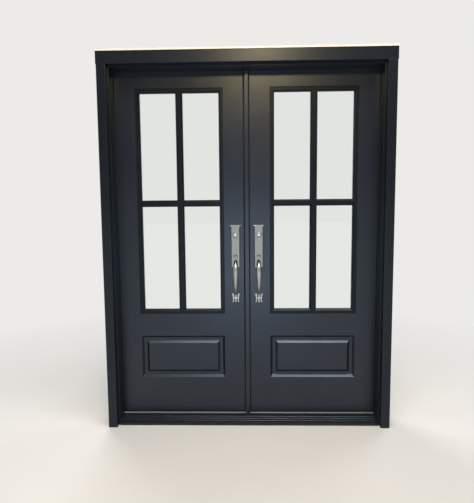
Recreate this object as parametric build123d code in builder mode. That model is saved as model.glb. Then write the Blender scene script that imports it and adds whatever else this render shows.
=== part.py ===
"""Entrance french doors: an inswing pair with a T astragal, in its own frame, without the wall.

Millimetres. X runs to the right as seen from outside, Y runs from outside to inside and Z is up.
The origin is on the floor, midway between the jambs, on the outer face of the jambs, where the
casings meet the wall. Both leaves are shown closed. The right leaf is the active one.
"""

import os

from build123d import *

os.makedirs("parts", exist_ok=True)

# Leaves, from their edges to the openings
leaf_thickness = 44.5
skin_thickness = 2.0
hinge_edge_width = 36.0
lock_edge_width = 112.0
opening_margin = 16.0
end_rail_height = 40.0
mid_rail_height = 136.0

# Gaps between the leaves and the frame
hinge_gap = 3.0
head_gap = 3.0
meeting_gap = 15.0
meeting_clearance = 3.0
soft_clearance = 0.3

# Glazed opening in each leaf
lite_opening_width = 500.0
lite_opening_height = 1300.0
lite_opening_top_margin = 105.0
lite_border = 23.0
muntin_width = 39.0
muntin_height = 38.0
lite_frame_depth = 14.5
quirk_width = 3.0
quirk_depth = 5.0
step_depth = 3.0
bevel_width = 8.0
bevel_depth = 8.0
glass_thickness = 4.0
glass_edge_clearance = 2.0
spacer_width = 9.0

# Raised panel pressed into each skin, as wide as the glazed opening
panel_height = 254.0
panel_bottom_margin = 212.0
panel_recess = 15.0
panel_slope_width = 13.0
panel_channel_width = 18.0
field_rise = 13.0
field_slope_width = 14.0

# Jambs
jamb_depth = 133.0
jamb_thickness = 19.0
stop_thickness = 12.7
seal_gap = 8.5
head_housing = 8.0
kerf_width = 3.0
kerf_depth = 9.0
kerf_inset = 1.5
seal_reach = 3.0
seal_corner_radius = 3.0
seal_barb_overlap = 1.0

# Casings and drip cap
casing_width = 51.0
casing_thickness = 32.0
casing_reveal = 10.0
head_casing_height = 76.0
head_reveal = 12.0
head_overhang = 2.0
casing_edge_radius = 2.0
relief_depth = 3.0
relief_margin = 9.0
drip_cap_thickness = 1.2
drip_cap_overhang = 3.0
drip_cap_fall = 9.0
drip_cap_upstand = 10.0

# Sill
sill_cap_top = 40.0
sill_base_rear = 26.0
sill_base_front = 15.0
deck_thickness = 2.5
deck_steps = 4
deck_riser = 1.0
nose_overhang = 6.0
nose_bottom = 8.0
nose_radius = 1.9
cap_front_offset = 4.5
cap_lap = 8.0
cap_chamfer = 4.0
sweep_height = 8.0
sweep_base_thickness = 2.0
sweep_fin_thickness = 2.0
sweep_inset = 6.0

# Astragal on the inactive leaf
flange_width = 27.0
flange_thickness = 14.0
flange_radius = 4.0
flange_end_clearance = 1.5

# Flush bolts in the astragal
bolt_radius = 4.0
bolt_length = 150.0
bolt_throw = 15.0
bolt_clearance = 0.3
bolt_end_play = 1.0
bolt_tab_inset = 40.0
bolt_tab_height = 12.0
bolt_tab_width = 7.0
bolt_tab_clearance = 0.5
bolt_strike_width = 11.0
bolt_strike_length = 40.0
strike_thickness = 1.5

# Hinges
hinge_height = 102.0
hinge_plate_depth = 36.0
hinge_plate_thickness = 2.5
hinge_corner_radius = 8.0
hinge_end_distance = 180.0
knuckle_count = 5
knuckle_radius = 6.3
knuckle_play = 0.4
pin_offset = 7.0
pin_radius = 3.1
pin_clearance = 0.05
pin_head_radius = 4.6
pin_head_height = 3.0

# Lock positions on the lock stile
backset = 60.3
latch_height = 927.5
bolt_spacing = 140.0
cross_bore_radius = 20.0
edge_bore_radius = 12.7
lock_case_setback = 8.0
lock_case_end = 2.0
faceplate_width = 25.4
faceplate_height = 57.0
faceplate_thickness = 2.5
latch_width = 11.0
latch_height_size = 17.0
latch_throw = 12.0
latch_bevel_inset = 2.0
deadbolt_width = 13.0
deadbolt_height = 20.0
deadbolt_throw = 25.0
deadbolt_end_play = 2.0
deadbolt_edge_radius = 2.0
lock_bolt_back_play = 4.0
lock_bolt_clearance = 0.3
strike_clearance = 1.5
strike_lip = 0.5
strike_width = 26.0
strike_height = 60.0

# Outer handleset
plate_width = 48.0
plate_thickness = 8.0
plate_height = 248.0
plate_top_above_bolt = 57.0
plate_bevel = 2.0
crown_width = 64.0
crown_height = 15.0
crown_lip = 5.0
notch_width = 27.0
notch_width_top = 15.0
notch_height = 44.5
notch_flat = 2.0
collar_radius = 17.5
collar_height = 7.0
collar_edge_radius = 4.5
collar_dish_radius = 11.0
collar_dish_depth = 1.0
plug_radius = 6.5
plug_clearance = 0.05
keyway_width = 2.0
keyway_height = 8.0

# Thumb piece above the grip
thumb_width = 23.0
thumb_length = 27.0
thumb_thickness = 3.5
thumb_shoulder = 7.0
thumb_edge_radius = 1.2
thumb_root_gap = 1.0
thumb_above_latch = 16.5
thumb_neck_width = 9.0
thumb_neck_length = 14.0
thumb_slot_height = 9.0
thumb_slot_clearance = 0.5
thumb_tail_clearance = 2.5
trunnion_radius = 1.6
trunnion_clearance = 0.05
trunnion_reach = 2.0

# Grip and its foot
grip_length = 250.0
grip_top_below_latch = 9.5
grip_projection = 46.0
grip_width_top = 8.0
grip_width_middle = 24.0
grip_width_bottom = 8.5
grip_depth_middle = 13.0
grip_depth_bottom = 9.0
foot_width_top = 51.0
foot_width_waist = 37.0
foot_width_bottom = 42.0
foot_height = 54.0
foot_dip = 5.0
foot_thickness = 8.0
foot_bevel = 1.8
foot_slot_width = 6.0
foot_slot_depth = 23.0
tail_radius = 4.0

# Inner trim
inner_plate_width = 48.0
inner_plate_height = 232.0
inner_plate_thickness = 7.0
inner_plate_corner_radius = 6.0
inner_plate_edge_radius = 2.5
lever_hub_radius = 12.0
lever_hub_length = 40.0
lever_length = 95.0
lever_width = 20.0
lever_depth = 10.0
lever_droop = 3.0
lever_hub_taper = 3.0
lever_arm_inset = 1.0
lever_neck_radius = 6.0
lever_neck_overlap = 2.0
lever_bore_clearance = 0.1
spindle_side = 8.0
turn_hub_radius = 9.0
turn_hub_length = 7.0
turn_length = 34.0
turn_width = 7.0
turn_depth = 16.0
tailpiece_radius = 3.0
tailpiece_meeting_depth = 6.0

# Sizes and positions worked out from the values above
panel_width = lite_opening_width
leaf_width = lite_opening_width + 2 * (lock_edge_width + opening_margin)
leaf_height = (
    lite_opening_top_margin + lite_opening_height + mid_rail_height + panel_height + panel_bottom_margin
)
lock_case_length = backset - lock_case_setback
lock_bolt_length = lock_case_length - lock_case_end - latch_throw - lock_bolt_back_play

half_gap = meeting_gap / 2
leaf_outer_x = half_gap + leaf_width
leaf_centre_x = half_gap + leaf_width / 2
rabbet_x = leaf_outer_x + hinge_gap
stop_x = rabbet_x - stop_thickness
jamb_back_x = rabbet_x + jamb_thickness
casing_inner_x = stop_x + casing_reveal
casing_outer_x = casing_inner_x + casing_width

leaf_back_y = jamb_depth
leaf_front_y = jamb_depth - leaf_thickness
leaf_middle_y = (leaf_front_y + leaf_back_y) / 2
core_front_y = leaf_front_y + skin_thickness
core_back_y = leaf_back_y - skin_thickness
stop_y = leaf_front_y - seal_gap

leaf_bottom_z = sill_cap_top + sweep_height
leaf_top_z = leaf_bottom_z + leaf_height
head_rabbet_z = leaf_top_z + head_gap
head_stop_z = head_rabbet_z - stop_thickness
head_top_z = head_rabbet_z + jamb_thickness
head_casing_z = head_stop_z + head_reveal
head_casing_top_z = head_casing_z + head_casing_height

lite_top_z = leaf_top_z - lite_opening_top_margin
lite_centre_z = lite_top_z - lite_opening_height / 2
lite_width = (lite_opening_width - 2 * lite_border - muntin_width) / 2
lite_height = (lite_opening_height - 2 * lite_border - muntin_height) / 2
panel_centre_z = leaf_bottom_z + panel_bottom_margin + panel_height / 2

pin_x = leaf_outer_x + hinge_gap / 2
pin_y = leaf_back_y + pin_offset
hinge_heights = [
    leaf_top_z - hinge_end_distance - hinge_height / 2,
    (leaf_top_z + leaf_bottom_z) / 2,
    leaf_bottom_z + hinge_end_distance + hinge_height / 2,
]

astragal_thickness = meeting_gap - meeting_clearance
astragal_face_x = -half_gap + astragal_thickness
bolt_x = -half_gap + astragal_thickness / 2
flange_front_y = leaf_front_y - flange_thickness

lock_x = half_gap + backset
latch_z = leaf_bottom_z + latch_height
deadbolt_z = latch_z + bolt_spacing
thumb_z = latch_z + thumb_above_latch
plate_top_z = deadbolt_z + plate_top_above_bolt
plate_bottom_z = plate_top_z - plate_height
plate_front_y = leaf_front_y - plate_thickness
collar_front_y = plate_front_y - collar_height
thumb_pivot_y = leaf_front_y - plate_thickness / 2
thumb_tail_y = thumb_pivot_y + thumb_neck_length
inner_plate_y = leaf_back_y + inner_plate_thickness
tail_meeting_y = core_front_y + tailpiece_meeting_depth

sides = (("left", -1), ("right", 1))


def finish(piece, label):
    """Label a finished piece and write its STEP file."""
    piece.part.label = label
    export_step(piece.part, f"parts/{label}.step")


def facing(y):
    """Plane that looks out of the facade at depth y, with X across and Z up."""
    return Plane(origin=(0, y, 0), x_dir=(1, 0, 0), z_dir=(0, -1, 0))


def span(x, side):
    """Plane across the doorway at x on one side, with Y across and Z up."""
    return Plane(origin=(side * x, 0, 0), x_dir=(0, 1, 0), z_dir=(1, 0, 0))


def block(x_range, y_range, z_range, mode=Mode.ADD):
    """Add or cut a block between two corners, given as ranges."""
    (x0, x1), (y0, y1), (z0, z1) = x_range, y_range, z_range
    with Locations(((x0 + x1) / 2, (y0 + y1) / 2, (z0 + z1) / 2)):
        Box(abs(x1 - x0), abs(y1 - y0), abs(z1 - z0), mode=mode)


def frustum(centre, y0, size0, y1, size1, mode):
    """Add or cut a four-sided frustum between two depths, as a pressed panel has."""
    with BuildSketch(facing(y0)) as start:
        with Locations(centre):
            Rectangle(*size0)
    with BuildSketch(facing(y1)) as end:
        with Locations(centre):
            Rectangle(*size1)
    loft([start.sketch, end.sketch], mode=mode)


def hinge_plate_body(x0, x1, mode, centre_z):
    """Add or cut one hinge plate's body, with its two rounded corners, between x0 and x1."""
    with BuildSketch(Plane(origin=(x0, 0, 0), x_dir=(0, 1, 0), z_dir=(1, 0, 0))) as outline:
        with BuildLine():
            Polyline(
                (leaf_back_y, centre_z - hinge_height / 2),
                (leaf_back_y, centre_z + hinge_height / 2),
                (leaf_back_y - hinge_plate_depth, centre_z + hinge_height / 2),
                (leaf_back_y - hinge_plate_depth, centre_z - hinge_height / 2),
                close=True,
            )
        make_face()
        fillet(outline.vertices().group_by(Axis.X)[0], hinge_corner_radius)
    extrude(outline.sketch, amount=x1 - x0, mode=mode)


# Frame: side jambs
def make_jamb(name, side):
    with BuildPart() as jamb:
        with BuildSketch(Plane.XY):
            with BuildLine():
                Polyline(
                    (side * stop_x, 0),
                    (side * jamb_back_x, 0),
                    (side * jamb_back_x, jamb_depth),
                    (side * rabbet_x, jamb_depth),
                    (side * rabbet_x, stop_y),
                    (side * stop_x, stop_y),
                    close=True,
                )
            make_face()
        extrude(amount=head_top_z)
        kerf_x = rabbet_x - kerf_inset
        block(
            (side * kerf_x, side * (kerf_x - kerf_width)),
            (stop_y - kerf_depth, stop_y),
            (0, head_rabbet_z),
            Mode.SUBTRACT,
        )
        block(
            (side * stop_x, side * (rabbet_x + head_housing)),
            (0, jamb_depth),
            (head_rabbet_z, head_top_z),
            Mode.SUBTRACT,
        )
        for z in hinge_heights:
            hinge_plate_body(side * rabbet_x, side * (rabbet_x + hinge_plate_thickness), Mode.SUBTRACT, z)
    finish(jamb, f"{name}_jamb")


# Frame: head jamb, housed into the side jambs
def make_head_jamb():
    with BuildPart() as head:
        housing_x = rabbet_x + head_housing
        block((-housing_x, housing_x), (0, jamb_depth), (head_rabbet_z, head_top_z))
        block((-stop_x, stop_x), (0, stop_y), (head_stop_z, head_rabbet_z))
        block(
            (-stop_x, stop_x),
            (stop_y - kerf_depth, stop_y),
            (head_rabbet_z - kerf_inset - kerf_width, head_rabbet_z - kerf_inset),
            Mode.SUBTRACT,
        )
        with Locations((bolt_x, leaf_middle_y, head_rabbet_z)):
            Cylinder(
                bolt_radius + 2 * bolt_clearance,
                bolt_throw + bolt_end_play,
                align=(Align.CENTER, Align.CENTER, Align.MIN),
                mode=Mode.SUBTRACT,
            )
            Box(
                bolt_strike_width,
                bolt_strike_length,
                strike_thickness,
                align=(Align.CENTER, Align.CENTER, Align.MIN),
                mode=Mode.SUBTRACT,
            )
    finish(head, "head_jamb")


# Frame: compression weatherstrips, a barb in the kerf and a hollow bulb against the leaf
def make_side_seal(name, side):
    bulb_back_y = leaf_front_y - soft_clearance
    bulb_width = stop_thickness + seal_reach
    foot_z = sill_cap_top + soft_clearance
    top_z = head_stop_z - seal_reach
    with BuildPart() as seal:
        with BuildSketch(Plane.XY.offset(foot_z)):
            with Locations((side * (rabbet_x - bulb_width / 2), (stop_y + bulb_back_y) / 2)):
                RectangleRounded(bulb_width, bulb_back_y - stop_y, seal_corner_radius)
        extrude(amount=top_z - foot_z)
        kerf_x = rabbet_x - kerf_inset
        block(
            (side * kerf_x, side * (kerf_x - kerf_width)),
            (stop_y - kerf_depth + seal_barb_overlap, stop_y + seal_barb_overlap),
            (foot_z, top_z),
        )
    finish(seal, f"{name}_weatherstrip")


def make_head_seal():
    bulb_back_y = leaf_front_y - soft_clearance
    with BuildPart() as seal:
        with BuildSketch(Plane.YZ):
            with Locations(((stop_y + bulb_back_y) / 2, head_rabbet_z - (stop_thickness + seal_reach) / 2)):
                RectangleRounded(bulb_back_y - stop_y, stop_thickness + seal_reach, seal_corner_radius)
        extrude(amount=rabbet_x, both=True)
        kerf_z = head_rabbet_z - kerf_inset
        block(
            (-stop_x, stop_x),
            (stop_y - kerf_depth + seal_barb_overlap, stop_y + seal_barb_overlap),
            (kerf_z - kerf_width, kerf_z),
        )
    finish(seal, "head_weatherstrip")


# Frame: outer casings, with a relieved back
def make_side_casing(name, side):
    with BuildPart() as casing:
        with BuildSketch(Plane.XY):
            with BuildLine():
                Polyline(
                    (side * casing_inner_x, 0),
                    (side * (casing_inner_x + relief_margin), 0),
                    (side * (casing_inner_x + relief_margin), -relief_depth),
                    (side * (casing_outer_x - relief_margin), -relief_depth),
                    (side * (casing_outer_x - relief_margin), 0),
                    (side * casing_outer_x, 0),
                    (side * casing_outer_x, -casing_thickness),
                    (side * casing_inner_x, -casing_thickness),
                    close=True,
                )
            make_face()
        extrude(amount=head_casing_z)
        front_edges = casing.edges().filter_by(Axis.Z).group_by(Axis.Y)[0]
        fillet(front_edges, casing_edge_radius)
    finish(casing, f"{name}_casing")


def make_head_casing():
    with BuildPart() as casing:
        with BuildSketch(Plane.YZ):
            with BuildLine():
                Polyline(
                    (0, head_casing_z),
                    (0, head_casing_z + relief_margin),
                    (-relief_depth, head_casing_z + relief_margin),
                    (-relief_depth, head_casing_top_z - relief_margin),
                    (0, head_casing_top_z - relief_margin),
                    (0, head_casing_top_z),
                    (-casing_thickness, head_casing_top_z),
                    (-casing_thickness, head_casing_z),
                    close=True,
                )
            make_face()
        extrude(amount=casing_outer_x + head_overhang, both=True)
        front_edges = casing.edges().filter_by(Axis.X).group_by(Axis.Y)[0]
        fillet(front_edges, casing_edge_radius)
    finish(casing, "head_casing")


# Frame: folded drip cap over the head casing
def make_drip_cap():
    half_length = casing_outer_x + head_overhang + drip_cap_overhang
    front_y = -casing_thickness - drip_cap_overhang
    top_z = head_casing_top_z
    with BuildPart() as drip_cap:
        with BuildSketch(Plane.YZ):
            with BuildLine():
                Polyline(
                    (0, top_z),
                    (front_y + drip_cap_thickness, top_z),
                    (front_y + drip_cap_thickness, top_z - drip_cap_fall),
                    (front_y, top_z - drip_cap_fall),
                    (front_y, top_z + drip_cap_thickness),
                    (-drip_cap_thickness, top_z + drip_cap_thickness),
                    (-drip_cap_thickness, top_z + drip_cap_upstand),
                    (0, top_z + drip_cap_upstand),
                    close=True,
                )
            make_face()
        extrude(amount=half_length, both=True)
        for end in (-1, 1):
            block(
                (end * half_length, end * (half_length - drip_cap_thickness)),
                (front_y, -drip_cap_thickness),
                (top_z - drip_cap_fall, top_z + drip_cap_thickness),
            )
    finish(drip_cap, "drip_cap")


# Sill: composite base, stepped metal deck with a turned-down nose, and the cap under the leaves
cap_front_y = stop_y + cap_front_offset
deck_rear_y = cap_front_y + cap_lap
deck_front_y = -nose_overhang + deck_thickness
nose_top_z = sill_base_front + deck_thickness


def make_sill_base():
    with BuildPart() as base:
        with BuildSketch(Plane.YZ):
            with BuildLine():
                Polyline(
                    (deck_front_y, 0),
                    (jamb_depth, 0),
                    (jamb_depth, sill_base_rear),
                    (deck_rear_y, sill_base_rear),
                    (deck_front_y, sill_base_front),
                    close=True,
                )
            make_face()
        extrude(amount=rabbet_x, both=True)
        for side in (-1, 1):
            block(
                (side * stop_x, side * rabbet_x),
                (deck_front_y, stop_y),
                (0, sill_base_rear),
                Mode.SUBTRACT,
            )
    finish(base, "sill_base")


def make_sill_deck():
    rear_top_z = sill_base_rear + deck_thickness
    run = (cap_front_y + nose_overhang) / deck_steps
    fall = (rear_top_z - nose_top_z) / deck_steps
    tread = [(deck_rear_y, rear_top_z)]
    for step in range(deck_steps):
        y = cap_front_y - step * run
        z = rear_top_z - step * fall
        tread.append((y, z))
        tread.append((y - run, z - fall + deck_riser))
    with BuildPart() as deck:
        with BuildSketch(Plane.YZ):
            with BuildLine():
                Polyline(
                    (deck_rear_y, sill_base_rear),
                    *tread,
                    (-nose_overhang, nose_bottom),
                    (deck_front_y, nose_bottom),
                    (deck_front_y, sill_base_front),
                    close=True,
                )
            make_face()
        extrude(amount=stop_x, both=True)
        nose_edge = deck.edges().filter_by(Axis.X).group_by(Axis.Y)[0].sort_by(Axis.Z)[-1]
        fillet(nose_edge, nose_radius)
    finish(deck, "sill_deck")


def make_sill_cap():
    rear_top_z = sill_base_rear + deck_thickness
    with BuildPart() as cap:
        with BuildSketch(Plane.YZ):
            with BuildLine():
                Polyline(
                    (cap_front_y, rear_top_z),
                    (deck_rear_y, rear_top_z),
                    (deck_rear_y, sill_base_rear),
                    (jamb_depth, sill_base_rear),
                    (jamb_depth, sill_cap_top),
                    (cap_front_y + cap_chamfer, sill_cap_top),
                    (cap_front_y, sill_cap_top - cap_chamfer),
                    close=True,
                )
            make_face()
        extrude(amount=rabbet_x, both=True)
        with Locations((bolt_x, leaf_middle_y, sill_cap_top)):
            Cylinder(
                bolt_radius + 2 * bolt_clearance,
                sill_cap_top - sill_base_rear,
                align=(Align.CENTER, Align.CENTER, Align.MAX),
                mode=Mode.SUBTRACT,
            )
            Box(
                bolt_strike_width,
                bolt_strike_length,
                strike_thickness,
                align=(Align.CENTER, Align.CENTER, Align.MAX),
                mode=Mode.SUBTRACT,
            )
    finish(cap, "sill_cap")


def make_bolt_strikes():
    with BuildPart() as strikes:
        for z in (head_rabbet_z + strike_thickness / 2, sill_cap_top - strike_thickness / 2):
            with Locations((bolt_x, leaf_middle_y, z)):
                Box(bolt_strike_width, bolt_strike_length, strike_thickness)
                Cylinder(bolt_radius + bolt_clearance, strike_thickness, mode=Mode.SUBTRACT)
    finish(strikes, "bolt_strikes")


# Hinges: two plates that share the knuckles, and a loose pin
def knuckle_levels(owner):
    """Mid-heights of the knuckles one plate carries, measured from the hinge's centre."""
    pitch = hinge_height / knuckle_count
    first = 0 if owner == "frame" else 1
    return [(i + 0.5) * pitch - hinge_height / 2 for i in range(first, knuckle_count, 2)]


def make_hinge_plates(name, side, owner):
    inner_x = rabbet_x if owner == "frame" else leaf_outer_x - hinge_plate_thickness
    knuckle_height = hinge_height / knuckle_count - knuckle_play
    with BuildPart() as plates:
        for z in hinge_heights:
            hinge_plate_body(side * inner_x, side * (inner_x + hinge_plate_thickness), Mode.ADD, z)
            for level in knuckle_levels(owner):
                block(
                    (side * inner_x, side * (inner_x + hinge_plate_thickness)),
                    (leaf_back_y, pin_y),
                    (z + level - knuckle_height / 2, z + level + knuckle_height / 2),
                )
                with Locations((side * pin_x, pin_y, z + level)):
                    Cylinder(knuckle_radius, knuckle_height)
            with Locations((side * pin_x, pin_y, z)):
                Cylinder(pin_radius + pin_clearance, hinge_height, mode=Mode.SUBTRACT)
    finish(plates, f"{name}_{owner}_hinge_plates")


def make_hinge_pins(name, side):
    with BuildPart() as pins:
        for z in hinge_heights:
            with Locations((side * pin_x, pin_y, z)):
                Cylinder(pin_radius, hinge_height)
            for end in (-1, 1):
                with Locations((side * pin_x, pin_y, z + end * (hinge_height + pin_head_height) / 2)):
                    Cylinder(pin_head_radius, pin_head_height)
    finish(pins, f"{name}_hinge_pins")


# Leaves: pressed skins over composite edges and a foam core
def thumb_tail_slot():
    """Cut the way for the thumb piece's tail through the outer skin and into the lock edge."""
    half_width = thumb_neck_width / 2 + thumb_tail_clearance
    half_height = thumb_slot_height / 2 + thumb_tail_clearance
    block(
        (lock_x - half_width, lock_x + half_width),
        (leaf_front_y, thumb_tail_y + thumb_tail_clearance),
        (thumb_z - half_height, thumb_z + half_height),
        Mode.SUBTRACT,
    )


def panel_profile(wall=0.0):
    """Sizes of the raised panel's opening, floor, field foot and field top, offset by a skin's wall."""
    foot_inset = panel_slope_width + panel_channel_width
    rings = (
        (0, wall),
        (panel_slope_width, wall),
        (foot_inset, -wall),
        (foot_inset + field_slope_width, -wall),
    )
    return [
        (panel_width + 2 * (growth - inset), panel_height + 2 * (growth - inset)) for inset, growth in rings
    ]


def make_skin(name, side, face):
    outward = -1 if face == "outer" else 1
    face_y = leaf_front_y if face == "outer" else leaf_back_y
    wall = skin_thickness
    centre = (side * leaf_centre_x, panel_centre_z)
    opening, floor, foot, top = panel_profile()
    back_opening, back_floor, back_foot, back_top = panel_profile(wall)

    def depth(distance):
        return face_y - outward * distance

    with BuildPart() as skin:
        block(
            (side * half_gap, side * leaf_outer_x),
            (face_y, depth(wall)),
            (leaf_bottom_z, leaf_top_z),
        )
        frustum(centre, depth(wall), back_opening, depth(panel_recess + wall), back_floor, Mode.ADD)
        frustum(centre, depth(0), opening, depth(panel_recess), floor, Mode.SUBTRACT)
        frustum(centre, depth(panel_recess), foot, depth(panel_recess - field_rise), top, Mode.ADD)
        frustum(
            centre,
            depth(panel_recess + wall),
            back_foot,
            depth(panel_recess - field_rise + wall),
            back_top,
            Mode.SUBTRACT,
        )
        block(
            (side * (leaf_centre_x - lite_opening_width / 2), side * (leaf_centre_x + lite_opening_width / 2)),
            (face_y, depth(wall)),
            (lite_top_z - lite_opening_height, lite_top_z),
            Mode.SUBTRACT,
        )
        if face == "inner":
            for z in hinge_heights:
                hinge_plate_body(
                    side * (leaf_outer_x - hinge_plate_thickness), side * leaf_outer_x, Mode.SUBTRACT, z
                )
        if side == 1:
            with BuildSketch(facing(face_y)) as bores:
                with Locations((lock_x, latch_z), (lock_x, deadbolt_z)):
                    Circle(cross_bore_radius)
            extrude(bores.sketch, amount=outward * wall, mode=Mode.SUBTRACT)
            if face == "outer":
                thumb_tail_slot()
    finish(skin, f"{name}_{face}_skin")


def make_hinge_edge(name, side):
    with BuildPart() as edge:
        block(
            (side * (leaf_outer_x - hinge_edge_width), side * leaf_outer_x),
            (core_front_y, core_back_y),
            (leaf_bottom_z, leaf_top_z),
        )
        for z in hinge_heights:
            hinge_plate_body(side * (leaf_outer_x - hinge_plate_thickness), side * leaf_outer_x, Mode.SUBTRACT, z)
    finish(edge, f"{name}_hinge_edge")


def make_lock_edge(name, side):
    with BuildPart() as edge:
        block(
            (side * half_gap, side * (half_gap + lock_edge_width)),
            (core_front_y, core_back_y),
            (leaf_bottom_z, leaf_top_z),
        )
        if side == 1:
            with BuildSketch(facing(core_front_y)) as cross_bores:
                with Locations((lock_x, latch_z), (lock_x, deadbolt_z)):
                    Circle(cross_bore_radius)
            extrude(cross_bores.sketch, amount=core_front_y - core_back_y, mode=Mode.SUBTRACT)
            with BuildSketch(span(half_gap, side)) as edge_bores:
                with Locations((leaf_middle_y, latch_z), (leaf_middle_y, deadbolt_z)):
                    Circle(edge_bore_radius)
            extrude(edge_bores.sketch, amount=backset, mode=Mode.SUBTRACT)
            thumb_tail_slot()
            for z in (latch_z, deadbolt_z):
                block(
                    (half_gap, half_gap + faceplate_thickness),
                    (leaf_middle_y - faceplate_width / 2, leaf_middle_y + faceplate_width / 2),
                    (z - faceplate_height / 2, z + faceplate_height / 2),
                    Mode.SUBTRACT,
                )
        else:
            pocket_depth = deadbolt_throw - meeting_gap + deadbolt_end_play
            block(
                (-half_gap, -half_gap - pocket_depth),
                (
                    leaf_middle_y - deadbolt_width / 2 - strike_clearance,
                    leaf_middle_y + deadbolt_width / 2 + strike_clearance,
                ),
                (
                    deadbolt_z - deadbolt_height / 2 - strike_clearance,
                    deadbolt_z + deadbolt_height / 2 + strike_clearance,
                ),
                Mode.SUBTRACT,
            )
    finish(edge, f"{name}_lock_edge")


def make_end_rails(name, side):
    with BuildPart() as rails:
        for z_range in (
            (leaf_bottom_z, leaf_bottom_z + end_rail_height),
            (leaf_top_z - end_rail_height, leaf_top_z),
        ):
            block(
                (side * (half_gap + lock_edge_width), side * (leaf_outer_x - hinge_edge_width)),
                (core_front_y, core_back_y),
                z_range,
            )
    finish(rails, f"{name}_end_rails")


def make_core(name, side):
    centre = (side * leaf_centre_x, panel_centre_z)
    opening, floor, foot, top = panel_profile(skin_thickness)
    with BuildPart() as core:
        block(
            (side * (half_gap + lock_edge_width), side * (leaf_outer_x - hinge_edge_width)),
            (core_front_y, core_back_y),
            (leaf_bottom_z + end_rail_height, leaf_top_z - end_rail_height),
        )
        block(
            (side * (leaf_centre_x - lite_opening_width / 2), side * (leaf_centre_x + lite_opening_width / 2)),
            (core_front_y, core_back_y),
            (lite_top_z - lite_opening_height, lite_top_z),
            Mode.SUBTRACT,
        )
        for face_y, inward in ((leaf_front_y, 1), (leaf_back_y, -1)):
            surface_y = face_y + inward * skin_thickness
            floor_y = surface_y + inward * panel_recess
            field_y = floor_y - inward * field_rise
            frustum(centre, surface_y, opening, floor_y, floor, Mode.SUBTRACT)
            frustum(centre, floor_y, foot, field_y, top, Mode.ADD)
    finish(core, f"{name}_core")


# Leaves: glazing frames with their muntins, one on each face, and the sealed glass between them
def make_lite_frame(name, side, face):
    inward = 1 if face == "outer" else -1
    face_y = leaf_front_y if face == "outer" else leaf_back_y
    centre = (side * leaf_centre_x, lite_centre_z)
    pitch_x = lite_width + muntin_width
    pitch_z = lite_height + muntin_height
    step_y = face_y + inward * step_depth
    bevel_y = step_y + inward * bevel_depth
    stepped = (lite_width + 2 * bevel_width, lite_height + 2 * bevel_width)
    with BuildPart() as frame:
        with BuildSketch(facing(face_y)) as lattice:
            with Locations(centre):
                Rectangle(lite_opening_width, lite_opening_height)
                with GridLocations(pitch_x, pitch_z, 2, 2):
                    Rectangle(lite_width, lite_height, mode=Mode.SUBTRACT)
        extrude(lattice.sketch, amount=-inward * lite_frame_depth)
        with BuildSketch(facing(face_y)) as quirk:
            with Locations(centre):
                Rectangle(lite_opening_width, lite_opening_height)
                Rectangle(
                    lite_opening_width - 2 * quirk_width,
                    lite_opening_height - 2 * quirk_width,
                    mode=Mode.SUBTRACT,
                )
        extrude(quirk.sketch, amount=-inward * quirk_depth, mode=Mode.SUBTRACT)
        for dx in (-pitch_x / 2, pitch_x / 2):
            for dz in (-pitch_z / 2, pitch_z / 2):
                lite = (centre[0] + dx, centre[1] + dz)
                frustum(lite, face_y, stepped, step_y, stepped, Mode.SUBTRACT)
                frustum(lite, step_y, stepped, bevel_y, (lite_width, lite_height), Mode.SUBTRACT)
    finish(frame, f"{name}_{face}_lite_frame")


def make_glass(name, side):
    front_y = leaf_front_y + lite_frame_depth
    back_y = leaf_back_y - lite_frame_depth
    half_width = lite_opening_width / 2 - glass_edge_clearance
    half_height = lite_opening_height / 2 - glass_edge_clearance
    centre_x = side * leaf_centre_x
    with BuildPart() as glass:
        block(
            (centre_x - half_width, centre_x + half_width),
            (front_y, back_y),
            (lite_centre_z - half_height, lite_centre_z + half_height),
        )
        block(
            (centre_x - half_width + spacer_width, centre_x + half_width - spacer_width),
            (front_y + glass_thickness, back_y - glass_thickness),
            (lite_centre_z - half_height + spacer_width, lite_centre_z + half_height - spacer_width),
            Mode.SUBTRACT,
        )
    finish(glass, f"{name}_glass")


# Leaves: bottom sweep, a strip with three soft fins that brush the sill cap
def make_sweep(name, side):
    base_bottom_z = leaf_bottom_z - sweep_base_thickness
    fin_pitch = (leaf_thickness - sweep_fin_thickness) / 2 - sweep_inset
    with BuildPart() as sweep:
        block(
            (side * half_gap, side * leaf_outer_x),
            (leaf_front_y + sweep_inset, leaf_back_y - sweep_inset),
            (base_bottom_z, leaf_bottom_z),
        )
        for step in (-1, 0, 1):
            fin_y = leaf_middle_y + step * fin_pitch
            block(
                (side * half_gap, side * leaf_outer_x),
                (fin_y - sweep_fin_thickness / 2, fin_y + sweep_fin_thickness / 2),
                (sill_cap_top + soft_clearance, base_bottom_z),
            )
    finish(sweep, f"{name}_sweep")


# Inactive leaf: T astragal with its strikes and flush bolts
def bolt_hole(z, size, clearance, depth):
    block(
        (astragal_face_x, astragal_face_x - depth),
        (leaf_middle_y - size[0] / 2 - clearance, leaf_middle_y + size[0] / 2 + clearance),
        (z - size[1] / 2 - clearance, z + size[1] / 2 + clearance),
        Mode.SUBTRACT,
    )


flange_top_z = head_stop_z - seal_reach - flange_end_clearance
flange_bottom_z = sill_cap_top + flange_end_clearance


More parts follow.
